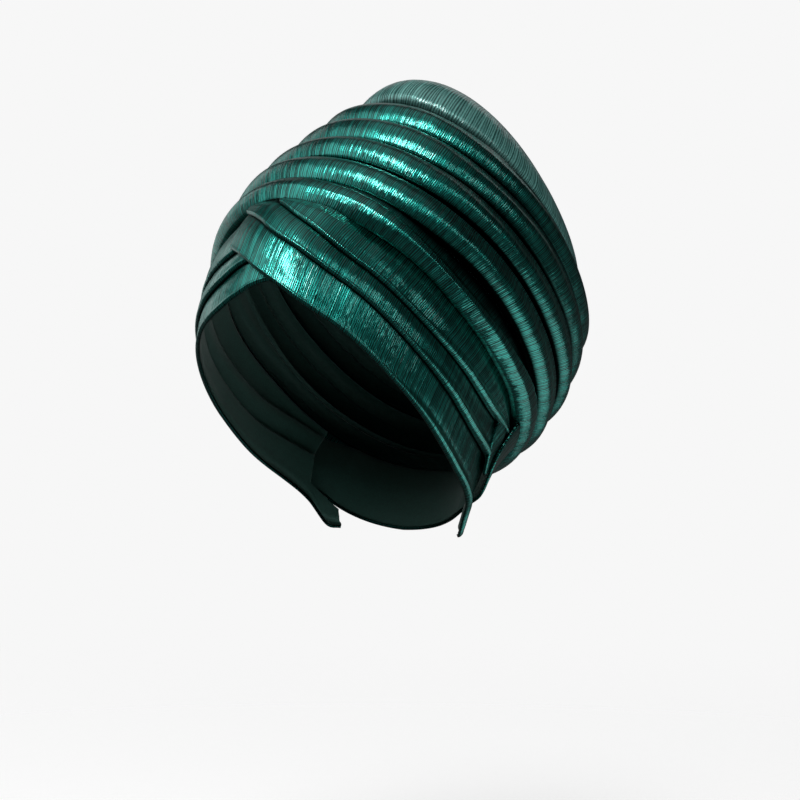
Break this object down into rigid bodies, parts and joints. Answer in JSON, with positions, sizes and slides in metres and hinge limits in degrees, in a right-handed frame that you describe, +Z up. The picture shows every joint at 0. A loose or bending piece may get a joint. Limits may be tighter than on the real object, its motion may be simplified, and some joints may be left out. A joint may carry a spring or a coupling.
{
  "type": "turban headscarf",
  "caption": "Tall ready-tied turban of green foil cloth: bands cross over the forehead and pleated rolls lean back to a smooth closed top.",
  "frame": {"origin": "middle of the wearer's head at its widest girth, about 25 mm above the brow, where the wrap grips", "axes": "+Z up, -Y the way the wearer faces, +X the wearer's left"},
  "size_m": [0.1952, 0.299, 0.265],
  "materials": {
    "band_cloth": "ribbed metallic foil",
    "roll_cloth": "ribbed metallic foil",
    "top_cloth": "ribbed metallic foil"
  },
  "bodies": {
    "root": {"left_wrap_1": "band_cloth", "left_wrap_2": "band_cloth", "left_wrap_3": "band_cloth", "right_wrap_1": "band_cloth", "right_wrap_2": "band_cloth", "right_wrap_3": "band_cloth", "pleat_roll_1": "roll_cloth", "pleat_roll_2": "roll_cloth", "pleat_roll_3": "roll_cloth", "pleat_roll_4": "roll_cloth", "pleat_roll_5": "roll_cloth", "crown_top": "top_cloth", "nape_panel": "band_cloth", "nape_tuck_left": "band_cloth", "nape_tuck_right": "band_cloth"}
  },
  "joints": []
}
